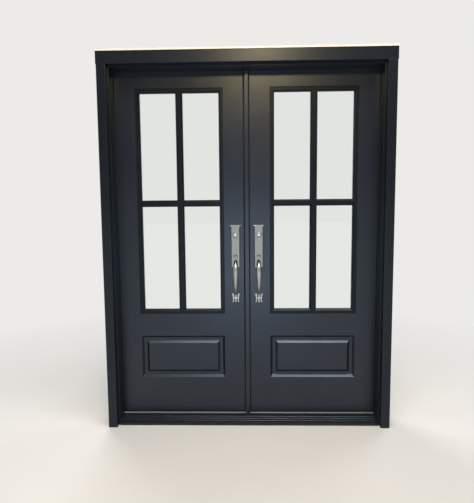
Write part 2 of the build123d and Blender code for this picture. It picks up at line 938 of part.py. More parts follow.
def make_astragal():
    with BuildPart() as astragal:
        block((-half_gap, astragal_face_x), (leaf_front_y, leaf_back_y), (leaf_bottom_z, leaf_top_z))
        with BuildSketch(Plane.XY.offset(flange_bottom_z)) as flange:
            with BuildLine():
                Polyline(
                    (-flange_width / 2, leaf_front_y),
                    (astragal_face_x, leaf_front_y),
                    (astragal_face_x, leaf_front_y - soft_clearance),
                    (flange_width / 2, leaf_front_y - soft_clearance),
                    (flange_width / 2, flange_front_y),
                    (-flange_width / 2, flange_front_y),
                    close=True,
                )
            make_face()
            fillet(flange.vertices().group_by(Axis.Y)[0], flange_radius)
        extrude(flange.sketch, amount=flange_top_z - flange_bottom_z)
        bolt_hole(latch_z, (latch_width, latch_height_size), strike_clearance, astragal_thickness)
        bolt_hole(deadbolt_z, (deadbolt_width, deadbolt_height), strike_clearance, astragal_thickness)
        for z in (latch_z, deadbolt_z):
            block(
                (astragal_face_x, astragal_face_x - strike_thickness),
                (leaf_middle_y - strike_width / 2, leaf_middle_y + strike_width / 2),
                (z - strike_height / 2, z + strike_height / 2),
                Mode.SUBTRACT,
            )
        for end_z, inward in ((leaf_top_z, -1), (leaf_bottom_z, 1)):
            depth = bolt_length + bolt_end_play
            with Locations((bolt_x, leaf_middle_y, end_z + inward * depth / 2)):
                Cylinder(bolt_radius + bolt_clearance, depth, mode=Mode.SUBTRACT)
            slot_start = end_z + inward * (bolt_tab_inset - bolt_end_play)
            slot_end = end_z + inward * (bolt_tab_inset + bolt_tab_height + bolt_throw + bolt_end_play)
            slot_half = bolt_tab_width / 2 + bolt_tab_clearance
            block(
                (bolt_x, astragal_face_x),
                (leaf_middle_y - slot_half, leaf_middle_y + slot_half),
                (slot_start, slot_end),
                Mode.SUBTRACT,
            )
    finish(astragal, "astragal")


def make_astragal_strikes():
    with BuildPart() as strikes:
        for z, size in ((latch_z, (latch_width, latch_height_size)), (deadbolt_z, (deadbolt_width, deadbolt_height))):
            block(
                (astragal_face_x, astragal_face_x - strike_thickness),
                (leaf_middle_y - strike_width / 2, leaf_middle_y + strike_width / 2),
                (z - strike_height / 2, z + strike_height / 2),
            )
            bolt_hole(z, size, strike_clearance - strike_lip, strike_thickness)
    finish(strikes, "astragal_strikes")


def make_flush_bolt(name, end_z, outward):
    with BuildPart() as bolt:
        start_z = end_z + outward * bolt_throw
        with Locations((bolt_x, leaf_middle_y, start_z - outward * bolt_length / 2)):
            Cylinder(bolt_radius, bolt_length)
        tab_z = end_z - outward * bolt_tab_inset
        block(
            (bolt_x, astragal_face_x - bolt_tab_clearance),
            (leaf_middle_y - bolt_tab_width / 2, leaf_middle_y + bolt_tab_width / 2),
            (tab_z, tab_z - outward * bolt_tab_height),
        )
    finish(bolt, f"{name}_flush_bolt")


# Active leaf: tubular cases, latch bolt and dead bolt
def make_lock_cases():
    with BuildPart() as cases:
        for z, size in ((latch_z, (latch_width, latch_height_size)), (deadbolt_z, (deadbolt_width, deadbolt_height))):
            with BuildSketch(span(half_gap + faceplate_thickness, 1)) as tube:
                with Locations((leaf_middle_y, z)):
                    Circle(edge_bore_radius)
            extrude(tube.sketch, amount=lock_case_length - faceplate_thickness)
            block(
                (half_gap, half_gap + faceplate_thickness),
                (leaf_middle_y - faceplate_width / 2, leaf_middle_y + faceplate_width / 2),
                (z - faceplate_height / 2, z + faceplate_height / 2),
            )
            block(
                (half_gap, half_gap + lock_case_length - lock_case_end),
                (
                    leaf_middle_y - size[0] / 2 - lock_bolt_clearance,
                    leaf_middle_y + size[0] / 2 + lock_bolt_clearance,
                ),
                (z - size[1] / 2 - lock_bolt_clearance, z + size[1] / 2 + lock_bolt_clearance),
                Mode.SUBTRACT,
            )
    finish(cases, "right_lock_cases")


def make_latch_bolt():
    tip_x = half_gap - latch_throw
    with BuildPart() as latch:
        block(
            (tip_x, tip_x + lock_bolt_length + latch_throw),
            (leaf_middle_y - latch_width / 2, leaf_middle_y + latch_width / 2),
            (latch_z - latch_height_size / 2, latch_z + latch_height_size / 2),
        )
        bevel_edge = latch.edges().filter_by(Axis.Z).group_by(Axis.X)[0].sort_by(Axis.Y)[0]
        chamfer(bevel_edge, latch_throw - latch_bevel_inset, latch_width - latch_bevel_inset)
    finish(latch, "latch_bolt")


def make_dead_bolt():
    with BuildPart() as bolt:
        block(
            (half_gap, half_gap + lock_bolt_length),
            (leaf_middle_y - deadbolt_width / 2, leaf_middle_y + deadbolt_width / 2),
            (deadbolt_z - deadbolt_height / 2, deadbolt_z + deadbolt_height / 2),
        )
        fillet(bolt.edges().filter_by(Axis.X), deadbolt_edge_radius)
    finish(bolt, "dead_bolt")


# Outer handleset: crowned plate with its cylinder collar and the arched notch for the grip
def make_outer_plate(name, side):
    x = side * lock_x
    half = plate_width / 2
    crown_half = crown_width / 2
    crown_foot_z = plate_top_z - crown_height
    lip_z = plate_top_z - crown_lip
    flare = crown_half - half
    rise = crown_height - crown_lip
    hollow_radius = (flare**2 + rise**2) / (2 * flare)
    with BuildPart() as plate:
        with BuildSketch(facing(leaf_front_y)) as outline:
            with BuildLine():
                Line((x - half, plate_bottom_z), (x - half, crown_foot_z))
                RadiusArc((x - half, crown_foot_z), (x - crown_half, lip_z), -hollow_radius)
                Polyline(
                    (x - crown_half, lip_z),
                    (x - crown_half, plate_top_z),
                    (x + crown_half, plate_top_z),
                    (x + crown_half, lip_z),
                )
                RadiusArc((x + crown_half, lip_z), (x + half, crown_foot_z), -hollow_radius)
                Line((x + half, crown_foot_z), (x + half, plate_bottom_z))
                Line((x + half, plate_bottom_z), (x - half, plate_bottom_z))
            make_face()
        extrude(outline.sketch, amount=plate_thickness)
        front_edges = plate.faces().sort_by(Axis.Y)[0].edges()
        chamfer(front_edges, plate_bevel)
        with BuildSketch(facing(plate_front_y)) as notch:
            with BuildLine():
                Polyline(
                    (x - notch_width / 2, plate_bottom_z),
                    (x - notch_width_top / 2, plate_bottom_z + notch_height),
                    (x + notch_width_top / 2, plate_bottom_z + notch_height),
                    (x + notch_width / 2, plate_bottom_z),
                    close=True,
                )
            make_face()
            fillet(notch.vertices().group_by(Axis.Z)[-1], (notch_width_top - notch_flat) / 2)
        extrude(notch.sketch, amount=-plate_thickness, mode=Mode.SUBTRACT)
        with BuildSketch(facing(plate_front_y)) as collar:
            with Locations((x, deadbolt_z)):
                Circle(collar_radius)
        extrude(collar.sketch, amount=collar_height)
        collar_rim = plate.faces().sort_by(Axis.Y)[0].edges()
        fillet(collar_rim, collar_edge_radius)
        with BuildSketch(facing(collar_front_y)) as dish:
            with Locations((x, deadbolt_z)):
                Circle(collar_dish_radius)
        extrude(dish.sketch, amount=-collar_dish_depth, mode=Mode.SUBTRACT)
        with BuildSketch(facing(collar_front_y)) as plug_bore:
            with Locations((x, deadbolt_z)):
                Circle(plug_radius + plug_clearance)
        extrude(plug_bore.sketch, amount=-(collar_height + plate_thickness), mode=Mode.SUBTRACT)
        slot_width = thumb_neck_width + 2 * thumb_slot_clearance
        block(
            (x - slot_width / 2, x + slot_width / 2),
            (plate_front_y, leaf_front_y),
            (thumb_z - thumb_slot_height / 2, thumb_z + thumb_slot_height / 2),
            Mode.SUBTRACT,
        )
        with Locations((x, thumb_pivot_y, thumb_z)):
            Cylinder(
                trunnion_radius + trunnion_clearance,
                slot_width + 2 * trunnion_reach,
                rotation=(0, 90, 0),
                mode=Mode.SUBTRACT,
            )
    finish(plate, f"{name}_outer_plate")


def make_key_plug(name, side):
    x = side * lock_x
    with BuildPart() as plug:
        with BuildSketch(facing(collar_front_y)) as face:
            with Locations((x, deadbolt_z)):
                Circle(plug_radius)
        extrude(face.sketch, amount=-(collar_height + plate_thickness - soft_clearance))
        with BuildSketch(facing(collar_front_y)) as keyway:
            with Locations((x, deadbolt_z)):
                Rectangle(keyway_width, keyway_height)
        extrude(keyway.sketch, amount=-collar_height, mode=Mode.SUBTRACT)
        if side == 1:
            with BuildSketch(facing(leaf_front_y)) as tail:
                with Locations((x, deadbolt_z)):
                    Circle(tailpiece_radius)
            extrude(tail.sketch, amount=leaf_front_y - tail_meeting_y)
            extrude(tail.sketch, amount=soft_clearance)
    finish(plug, f"{name}_key_plug")


def make_thumb_piece(name, side):
    x = side * lock_x
    tip_y = plate_front_y - thumb_length
    root_y = plate_front_y - thumb_root_gap
    shoulder_y = root_y - thumb_shoulder
    with BuildPart() as thumb:
        with BuildSketch(Plane.XY.offset(thumb_z - thumb_thickness / 2)) as pad:
            with BuildLine():
                Line((x - thumb_neck_width / 2, root_y), (x - thumb_width / 2, shoulder_y))
                ThreePointArc(
                    (x - thumb_width / 2, shoulder_y),
                    (x, tip_y),
                    (x + thumb_width / 2, shoulder_y),
                )
                Line((x + thumb_width / 2, shoulder_y), (x + thumb_neck_width / 2, root_y))
                Line((x + thumb_neck_width / 2, root_y), (x - thumb_neck_width / 2, root_y))
            make_face()
        extrude(pad.sketch, amount=thumb_thickness)
        fillet(thumb.faces().sort_by(Axis.Z)[-1].edges(), thumb_edge_radius)
        block(
            (x - thumb_neck_width / 2, x + thumb_neck_width / 2),
            (root_y, leaf_front_y if side == -1 else thumb_tail_y),
            (thumb_z - thumb_thickness / 2, thumb_z + thumb_thickness / 2),
        )
        with Locations((x, thumb_pivot_y, thumb_z)):
            Cylinder(
                trunnion_radius,
                thumb_neck_width + 2 * trunnion_reach,
                rotation=(0, 90, 0),
            )
    finish(thumb, f"{name}_thumb_piece")


# Outer handleset: bowed grip, lofted through ellipses along its arc, cast with its flared foot
def grip_sections(x, top_z, foot_top_z):
    """Ellipses along the bow: offset from the leaf, height, slope of the bow, width and depth."""
    length = top_z - foot_top_z
    bow = grip_projection
    stations = (
        (0.0, 0.03, (-1.0, 0.0), grip_width_top, 0.8 * grip_depth_middle),
        (0.52 * bow, 0.075, (-1.0, -0.8), 1.3 * grip_width_top, grip_depth_middle),
        (0.92 * bow, 0.22, (-0.3, -1.0), grip_width_middle, grip_depth_middle),
        (bow, 0.36, (0.0, -1.0), grip_width_middle, grip_depth_middle),
        (0.88 * bow, 0.62, (0.2, -1.0), 0.74 * grip_width_middle, 0.86 * grip_depth_middle),
        (0.55 * bow, 0.86, (0.55, -1.0), 1.05 * grip_width_bottom, grip_depth_bottom),
        (0.5 * foot_thickness, 1.04, (1.0, -0.9), grip_width_bottom, grip_depth_bottom),
    )
    sections = []
    for offset_y, share, (dy, dz), width, depth in stations:
        centre = (x, leaf_front_y - offset_y, top_z - share * length)
        with BuildSketch(Plane(origin=centre, x_dir=(1, 0, 0), z_dir=(0, dy, dz))) as section:
            Ellipse(width / 2, depth / 2)
        sections.append(section.sketch)
    return sections


def make_grip(name, side):
    x = side * lock_x
    top_z = latch_z - grip_top_below_latch
    bottom_z = top_z - grip_length
    foot_top_z = bottom_z + foot_height
    waist_z = bottom_z + foot_height / 2
    half_top = foot_width_top / 2
    half_waist = foot_width_waist / 2
    half_bottom = foot_width_bottom / 2
    with BuildPart() as grip:
        with BuildSketch(facing(leaf_front_y)) as foot:
            with BuildLine():
                ThreePointArc(
                    (x - half_top, foot_top_z), (x - half_waist, waist_z), (x - half_bottom, bottom_z)
                )
                ThreePointArc(
                    (x - half_bottom, bottom_z), (x, bottom_z + foot_dip), (x + half_bottom, bottom_z)
                )
                ThreePointArc(
                    (x + half_bottom, bottom_z), (x + half_waist, waist_z), (x + half_top, foot_top_z)
                )
                ThreePointArc(
                    (x + half_top, foot_top_z), (x, foot_top_z - foot_dip), (x - half_top, foot_top_z)
                )
            make_face()
            slot_x = grip_width_bottom / 2 + foot_slot_width / 2
            for end_z in (foot_top_z, bottom_z):
                with Locations((x - slot_x, end_z), (x + slot_x, end_z)):
                    SlotOverall(2 * foot_slot_depth, foot_slot_width, rotation=90, mode=Mode.SUBTRACT)
        extrude(foot.sketch, amount=foot_thickness)
        chamfer(grip.faces().sort_by(Axis.Y)[0].edges(), foot_bevel)
        loft(grip_sections(x, top_z, foot_top_z))
        with Locations((x, leaf_front_y - tail_radius, bottom_z + tail_radius / 2)):
            Sphere(tail_radius)
    finish(grip, f"{name}_grip")


# Inner trim: plain plate, lever and thumbturn
def make_inner_plate(name, side):
    x = side * lock_x
    centre_z = (plate_top_z + plate_bottom_z) / 2
    with BuildPart() as plate:
        with BuildSketch(facing(inner_plate_y)) as outline:
            with Locations((x, centre_z)):
                RectangleRounded(inner_plate_width, inner_plate_height, inner_plate_corner_radius)
        extrude(outline.sketch, amount=inner_plate_thickness)
        fillet(plate.faces().sort_by(Axis.Y)[-1].edges(), inner_plate_edge_radius)
        if side == 1:
            with BuildSketch(facing(inner_plate_y)) as bores:
                with Locations((x, latch_z)):
                    Circle(lever_neck_radius + lever_bore_clearance)
                with Locations((x, deadbolt_z)):
                    Circle(tailpiece_radius + lever_bore_clearance)
            extrude(bores.sketch, amount=inner_plate_thickness, mode=Mode.SUBTRACT)
    finish(plate, f"{name}_inner_plate")


def make_lever(name, side):
    x = side * lock_x
    arm_y = inner_plate_y + lever_hub_length
    arm_middle_y = arm_y - lever_depth / 2 - lever_arm_inset
    hub_gap = soft_clearance if side == 1 else 0
    with BuildPart() as lever:
        with BuildSketch(facing(arm_y)) as hub:
            with Locations((x, latch_z)):
                Circle(lever_hub_radius)
        extrude(hub.sketch, amount=lever_hub_length - hub_gap, taper=-lever_hub_taper)
        sections = []
        for share, swell in ((0, 1.0), (0.5, 0.9), (0.94, 0.8), (1, 0.45)):
            droop = lever_droop * 4 * share * (1 - share)
            station = Plane(
                origin=(x + side * share * lever_length, arm_middle_y, latch_z - droop),
                x_dir=(0, 1, 0),
                z_dir=(side, 0, 0),
            )
            with BuildSketch(station) as section:
                Ellipse(swell * lever_depth / 2, swell * lever_width / 2)
            sections.append(section.sketch)
        loft(sections)
        if side == 1:
            with BuildSketch(facing(inner_plate_y + lever_neck_overlap)) as neck:
                with Locations((x, latch_z)):
                    Circle(lever_neck_radius)
            extrude(neck.sketch, amount=inner_plate_thickness + lever_neck_overlap)
            with BuildSketch(facing(leaf_back_y)) as spindle:
                with Locations((x, latch_z)):
                    Rectangle(spindle_side, spindle_side)
            extrude(spindle.sketch, amount=leaf_thickness - soft_clearance)
    finish(lever, f"{name}_lever")


def make_thumbturn():
    x = lock_x
    hub_back_y = inner_plate_y + soft_clearance
    with BuildPart() as turn:
        with BuildSketch(facing(hub_back_y + turn_hub_length)) as hub:
            with Locations((x, deadbolt_z)):
                Circle(turn_hub_radius)
        extrude(hub.sketch, amount=turn_hub_length)
        with BuildSketch(facing(hub_back_y + turn_hub_length + turn_depth)) as blade:
            with Locations((x, deadbolt_z)):
                SlotOverall(turn_length, turn_width, rotation=90)
        extrude(blade.sketch, amount=turn_depth)
        with BuildSketch(facing(hub_back_y)) as tail:
            with Locations((x, deadbolt_z)):
                Circle(tailpiece_radius)
        extrude(tail.sketch, amount=hub_back_y - tail_meeting_y - soft_clearance)
    finish(turn, "thumbturn")


# The whole frame
for name, side in sides:
    make_jamb(name, side)
    make_side_casing(name, side)
    make_side_seal(name, side)
    make_hinge_plates(name, side, "frame")
    make_hinge_pins(name, side)
make_head_jamb()
make_head_seal()
make_head_casing()
make_drip_cap()
make_sill_base()
make_sill_deck()
make_sill_cap()
make_bolt_strikes()

# Both leaves
for name, side in sides:
    for face in ("outer", "inner"):
        make_skin(name, side, face)
        make_lite_frame(name, side, face)
    make_hinge_edge(name, side)
    make_lock_edge(name, side)
    make_end_rails(name, side)
    make_core(name, side)
    make_glass(name, side)
    make_sweep(name, side)
    make_hinge_plates(name, side, "leaf")
    make_outer_plate(name, side)
    make_key_plug(name, side)
    make_thumb_piece(name, side)
    make_grip(name, side)
    make_inner_plate(name, side)
    make_lever(name, side)

# Inactive leaf only
make_astragal()
make_astragal_strikes()
make_flush_bolt("top", leaf_top_z, 1)
make_flush_bolt("bottom", leaf_bottom_z, -1)

# Active leaf only
make_lock_cases()
make_latch_bolt()
make_dead_bolt()
make_thumbturn()
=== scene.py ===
from math import cos, pi, radians, sin

import bmesh
import bpy
from mathutils import Matrix, Vector


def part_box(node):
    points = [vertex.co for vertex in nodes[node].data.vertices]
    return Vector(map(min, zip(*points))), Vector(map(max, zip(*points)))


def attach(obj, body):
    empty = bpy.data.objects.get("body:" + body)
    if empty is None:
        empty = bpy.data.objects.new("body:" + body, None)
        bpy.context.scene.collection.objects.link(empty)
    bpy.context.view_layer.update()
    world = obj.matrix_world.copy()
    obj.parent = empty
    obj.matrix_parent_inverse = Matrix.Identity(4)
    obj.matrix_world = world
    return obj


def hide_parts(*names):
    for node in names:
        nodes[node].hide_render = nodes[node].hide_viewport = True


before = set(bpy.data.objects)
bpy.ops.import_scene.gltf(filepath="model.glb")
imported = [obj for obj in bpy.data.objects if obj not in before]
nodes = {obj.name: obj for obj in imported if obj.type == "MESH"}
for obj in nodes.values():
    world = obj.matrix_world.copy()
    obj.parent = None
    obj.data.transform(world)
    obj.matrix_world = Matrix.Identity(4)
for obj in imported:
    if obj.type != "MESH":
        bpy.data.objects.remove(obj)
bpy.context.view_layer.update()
sides = {"left": -1, "right": 1}  # and the sign of x on each
print("frame loaded:", len(nodes), "pieces from the solids")


# A socket that takes Python arithmetic: each operator adds one Math node
class Wire:
    def __init__(self, tree, socket):
        self.tree = tree
        self.socket = socket

    def math(self, operation, other, reflected=False):
        node = self.tree.nodes.new("ShaderNodeMath")
        node.operation = operation
        mine, theirs = (1, 0) if reflected else (0, 1)
        self.tree.links.new(self.socket, node.inputs[mine])
        if isinstance(other, Wire):
            self.tree.links.new(other.socket, node.inputs[theirs])
        else:
            node.inputs[theirs].default_value = other
        return Wire(self.tree, node.outputs[0])

    def __add__(self, other):
        return self.math("ADD", other)

    def __radd__(self, other):
        return self.math("ADD", other)

    def __sub__(self, other):
        return self.math("SUBTRACT", other)

    def __rsub__(self, other):
        return self.math("SUBTRACT", other, True)

    def __mul__(self, other):
        return self.math("MULTIPLY", other)

    def __rmul__(self, other):
        return self.math("MULTIPLY", other)


def opaque(colour):
    return (*colour, 1)


def shade(colour, factor):
    return tuple(min(1, channel * factor) for channel in colour)


# Samples of the rounded normal, and how far it has to turn on an arris, as 1 minus a cosine
arrisMask = {"samples": 4, "from": 0.01, "to": 0.12}


# A node tree, with the one method that adds every other node
class Graph:
    def __init__(self, tree):
        self.tree = tree

    def fill(self, socket, value):
        if isinstance(value, Wire):
            self.tree.links.new(value.socket, socket)
        else:
            socket.default_value = value

    def add(self, kind, settings=None, values=None, out=0):
        node = self.tree.nodes.new("ShaderNode" + kind)
        for key, value in (settings or {}).items():
            if key == "stops":
                for element, (position, grey) in zip(node.color_ramp.elements, value):
                    element.position = position
                    element.color = (grey, grey, grey, 1)
            else:
                setattr(node, key, value)
        for key, value in (values or {}).items():
            self.fill(node.inputs[key], value)
        return Wire(self.tree, node.outputs[out])

    # Show one shader where a mask is 0, and another where it is 1
    def show(self, output, mask, first, second):
        blend = self.add("MixShader", {}, {0: mask, 1: first, 2: second})
        self.fill(self.tree.nodes[output].inputs["Surface"], blend)


# One material: its principled shader, and the patterns that feed it
class Finish(Graph):
    def __init__(self, name, colour, rough, metal=0.0):
        self.material = bpy.data.materials.new(name)
        self.material.use_nodes = True
        super().__init__(self.material.node_tree)
        self.shader = self.tree.nodes["Principled BSDF"]
        self.set("Base Color", opaque(colour))
        self.set("Roughness", rough)
        self.set("Metallic", metal)

    def set(self, socket, value):
        self.fill(self.shader.inputs[socket], value)

    # Position on the piece in metres, stretched so that a pattern runs along one direction
    def place(self, stretch=(1, 1, 1)):
        spot = self.add("TexCoord", out="Object")
        return self.add("VectorMath", {"operation": "MULTIPLY"}, {0: spot, 1: stretch})

    def noise(self, scale, stretch=(1, 1, 1), detail=3.0, rough=0.5):
        values = {"Vector": self.place(stretch), "Scale": scale, "Detail": detail, "Roughness": rough}
        return self.add("TexNoise", {}, values)

    # Stretch the values between low and high to 0..1
    def ramp(self, factor, low, high):
        return self.add("ValToRGB", {"stops": ((low, 0), (high, 1))}, {"Fac": factor})

    def mix(self, factor, first, second):
        values = {0: factor}
        for index, colour in ((6, first), (7, second)):  # the Mix node's two colour sockets
            values[index] = colour if isinstance(colour, Wire) else opaque(colour)
        return self.add("Mix", {"data_type": "RGBA"}, values, out=2)

    # One colour between a darker and a lighter shade of itself
    def mottle(self, factor, colour, shades):
        return self.mix(factor, *(shade(colour, amount) for amount in shades))

    # A normal that rounds the arrises of a piece
    def rounding(self, radius):
        return self.add("Bevel", {"samples": arrisMask["samples"]}, {"Radius": radius})

    # A mask that is 1 on those arrises
    def arris(self, rounded):
        true = self.add("NewGeometry", out="Normal")
        facing = self.add("VectorMath", {"operation": "DOT_PRODUCT"}, {0: rounded, 1: true}, out="Value")
        return self.ramp(1 - facing, arrisMask["from"], arrisMask["to"])

    def bump(self, height, depth, normal=None):
        values = {"Height": height, "Strength": 1.0, "Distance": depth}
        if normal is not None:
            values["Normal"] = normal
        self.set("Normal", self.add("Bump", {}, values))


# What all the paints share: a clouded coat whose gloss is tinted blue as a painted reflection of cool
# daylight, its arrises painted paler as a painted highlight that also stands for paint rubbed thin there.
# It gives back the finish, its rounded normal and its roughness so far.
def paintCoat(name, paint):
    finish = Finish(name, paint["colour"], paint["rough"])
    finish.set("Specular IOR Level", paint["shine"])
    # The blue gloss tint is a painted reflection of cool daylight
    finish.set("Specular Tint", opaque(paint["tint"]))
    cloud = finish.noise(paint["cloud"], detail=paint["cloudDetail"])
    rounded = finish.rounding(paint["arris"])
    edge = finish.arris(rounded)
    body = finish.mottle(cloud, paint["colour"], paint["shades"])
    # Arrises painted paler: a painted highlight, which also stands for paint rubbed thin there
    finish.set("Base Color", finish.mix(edge, body, paint["edge"]))
    rough = paint["rough"] + cloud * paint["cloudRough"] - edge * paint["arrisGloss"]
    return finish, rounded, rough


# Charcoal paint on timber, brushed along one direction
timberPaint = {
    "colour": (0.0050, 0.0064, 0.0092),
    "shades": (0.85, 1.2),
    # edge is the colour painted on the arrises, a painted highlight; tint is the painted blue reflection on
    # the gloss
    "edge": (0.058, 0.066, 0.076),
    "tint": (0.68, 0.81, 1.0),
    "shine": 0.46,
    "rough": 0.25,
    "cloud": 3.2,
    "cloudDetail": 2.0,
    "cloudRough": 0.05,
    "arris": 0.0011,
    "arrisGloss": 0.06,
    "strokes": 260,
    "strokeRough": 0.08,
    "strokeDepth": 0.00004,
}


def brushedPaint(name, stretch):
    finish, rounded, rough = paintCoat(name, timberPaint)
    strokes = finish.noise(timberPaint["strokes"], stretch, detail=4.0, rough=0.6)
    finish.set("Roughness", rough + strokes * timberPaint["strokeRough"])
    finish.bump(strokes, timberPaint["strokeDepth"], rounded)
    return finish.material


# Factory paint on the pressed skins and the astragal, with a little orange peel
factoryPaint = {
    "colour": (0.0056, 0.0072, 0.0120),
    "shades": (0.9, 1.12),
    # edge is the colour painted on the arrises, a painted highlight; tint is the painted blue reflection on
    # the gloss
    "edge": (0.044, 0.052, 0.064),
    "tint": (0.68, 0.81, 1.0),
    "shine": 0.76,
    "rough": 0.30,
    "cloud": 2.1,
    "cloudDetail": 3.0,
    "cloudRough": 0.05,
    "arris": 0.0013,
    "arrisGloss": 0.05,
    "smear": 9,
    "smearStretch": (1, 1, 0.35),
    "smearRange": (0.45, 0.75),
    "smearRough": 0.05,
    "peel": 1100,
    "peelDepth": 0.00002,
}

# Moulded black plastic of the glazing frames, duller and finer than the skins beside it. Its colour is set
# darker than the skins' as painted shade, and its arris colour is a painted highlight.
glazingPlastic = {
    **factoryPaint,
    # Darker than the skins: painted shade; the paler edge colour below is a painted highlight
    "colour": (0.0034, 0.0042, 0.0060),
    "edge": (0.050, 0.062, 0.078),
    "shine": 0.32,
    "rough": 0.32,
    "arris": 0.0012,
    "peel": 1500,
    "peelDepth": 0.00001,
}


def sprayedPaint(name, paint):
    finish, rounded, rough = paintCoat(name, paint)
    streaks = finish.noise(paint["smear"], paint["smearStretch"], detail=4.0, rough=0.6)
    smear = finish.ramp(streaks, *paint["smearRange"])
    finish.set("Roughness", rough + smear * paint["smearRough"])
    finish.bump(finish.noise(paint["peel"], detail=1.0), paint["peelDepth"], rounded)
    return finish.material


# Satin nickel, with the fine lines of its brushing, its arrises painted pale as a painted highlight that
# also stands for rubbing
satinNickel = {
    "colour": (0.312, 0.311, 0.306),
    "shades": (0.86, 1.08),
    # The pale colour painted on the arrises: a painted highlight, partly wear
    "wearAndHighlight": (0.80, 0.78, 0.74),
    "wearAndHighlightShare": 0.6,
    "rough": 0.33,
    "lines": 1500,
    "lineRough": 0.10,
    "lineDepth": 0.000012,
    "haze": 38,
    "hazeRough": 0.08,
    "arris": 0.0006,
    "arrisGloss": 0.08,
}


def brushedNickel(name, stretch, roughShift=0.0, paintedBrightness=1.0):
    nickel = satinNickel
    # A factor above 1 lightens this copy of the nickel: a painted highlight
    colour = shade(nickel["colour"], paintedBrightness)
    finish = Finish(name, colour, nickel["rough"], metal=1.0)
    lines = finish.noise(nickel["lines"], stretch, detail=2.0)
    haze = finish.noise(nickel["haze"], detail=3.0)
    rounded = finish.rounding(nickel["arris"])
    edge = finish.arris(rounded)
    body = finish.mottle(haze, colour, nickel["shades"])
    # Arrises mixed toward the pale colour: a painted highlight, partly wear
    finish.set("Base Color", finish.mix(edge * nickel["wearAndHighlightShare"], body, nickel["wearAndHighlight"]))
    rough = nickel["rough"] + roughShift + lines * nickel["lineRough"] + haze * nickel["hazeRough"]
    finish.set("Roughness", rough - edge * nickel["arrisGloss"])
    finish.bump(lines, nickel["lineDepth"], rounded)
    return finish.material


# Cream factory coat on the folded drip cap, a little dusty
creamCoat = {
    "colour": (0.74, 0.70, 0.61),
    "rough": 0.42,
    "dust": 14,
    "dustStretch": (1, 3, 3),
    "dustRange": (0.42, 0.8),
    "dustColour": (0.50, 0.46, 0.38),
    "dustShare": 0.35,
    "dustRough": 0.15,
    "grain": 900,
    "grainDepth": 0.00001,
    "arris": 0.0008,
}


def coatedMetal(name):
    coat = creamCoat
    finish = Finish(name, coat["colour"], coat["rough"])
    specks = finish.noise(coat["dust"], coat["dustStretch"], detail=5.0, rough=0.65)
    dust = finish.ramp(specks, *coat["dustRange"])
    finish.set("Base Color", finish.mix(dust * coat["dustShare"], coat["colour"], coat["dustColour"]))
    finish.set("Roughness", coat["rough"] + dust * coat["dustRough"])
    finish.bump(finish.noise(coat["grain"], detail=1.0), coat["grainDepth"], finish.rounding(coat["arris"]))
    return finish.material


# Dark anodised deck, drawn along the sill, with a little dust on its treads, its arrises painted pale blue
# as a painted highlight that also stands for bare metal
darkDeck = {
    "colour": (0.026, 0.030, 0.038),
    # edge: the pale blue painted on the arrises, a painted highlight, partly bare metal
    "edge": (0.20, 0.23, 0.28),
    "metal": 0.85,
    "rough": 0.34,
    "lines": 1400,
    "lineStretch": (0.01, 1, 1),
    "lineRough": 0.08,
    "lineDepth": 0.00002,
    "dust": 26,
    "dustStretch": (1, 2, 2),
    "dustRange": (0.5, 0.85),
    "dustColour": (0.22, 0.20, 0.17),
    "dustShare": 0.18,
    "dustRough": 0.2,
    "arris": 0.0016,
}


def drawnMetal(name):
    deck = darkDeck
    finish = Finish(name, deck["colour"], deck["rough"], deck["metal"])
    lines = finish.noise(deck["lines"], deck["lineStretch"], detail=3.0)
    specks = finish.noise(deck["dust"], deck["dustStretch"], detail=5.0, rough=0.7)
    dust = finish.ramp(specks, *deck["dustRange"])
    rounded = finish.rounding(deck["arris"])
    # Arrises painted pale blue: a painted highlight, partly bare metal
    bareAndHighlit = finish.mix(finish.arris(rounded), deck["colour"], deck["edge"])
    finish.set("Base Color", finish.mix(dust * deck["dustShare"], bareAndHighlit, deck["dustColour"]))
    finish.set("Roughness", deck["rough"] + lines * deck["lineRough"] + dust * deck["dustRough"])
    finish.bump(lines, deck["lineDepth"], rounded)
    return finish.material


# Black sill composite, a little grainy, painted pale on its arrises and on faces that look up, as a painted
# highlight that also stands for wear where feet tread
sillMix = {
    "dark": (0.012, 0.013, 0.016),
    "pale": (0.028, 0.030, 0.035),
    "rough": 0.52,
    "grain": 420,
    "grainStretch": (0.2, 1, 1),
    "grainRough": 0.16,
    "grainDepth": 0.00008,
    # Faces that look up are painted paler: painted highlight, partly wear
    "treadAndLight": (0.6, 0.9),  # how far up a face looks
    "arris": 0.0022,
    "arrisGloss": 0.05,
}


def composite(name, wornAndLit):
    finish = Finish(name, sillMix["pale"], sillMix["rough"])
    grain = finish.noise(sillMix["grain"], sillMix["grainStretch"], detail=4.0, rough=0.7)
    rounded = finish.rounding(sillMix["arris"])
    edge = finish.arris(rounded)
    upward = finish.add("SeparateXYZ", {}, {0: finish.add("NewGeometry", out="Normal")}, out="Z")
    # Upward faces and arrises painted pale: painted highlight, partly wear
    treadAndLight = finish.ramp(upward, *sillMix["treadAndLight"])
    wearAndHighlight = finish.add("Math", {"operation": "MAXIMUM"}, {0: edge, 1: treadAndLight})
    body = finish.mix(grain, sillMix["dark"], sillMix["pale"])
    finish.set("Base Color", finish.mix(wearAndHighlight, body, wornAndLit))
    rough = sillMix["rough"] + grain * sillMix["grainRough"]
    finish.set("Roughness", rough - edge * sillMix["arrisGloss"])
    finish.bump(grain, sillMix["grainDepth"], rounded)
    return finish.material


# Soft black seal: a matt skin over foam
sealFoam = {
    "dark": (0.005, 0.006, 0.008),
    "pale": (0.012, 0.013, 0.016),
    "shine": 0.25,
    "rough": 0.62,
    "pores": 800,
    "poreRough": 0.2,
    "poreShare": 0.4,
    "folds": 60,
    "foldStretch": (1, 1, 0.4),
    "depth": 0.00025,
}


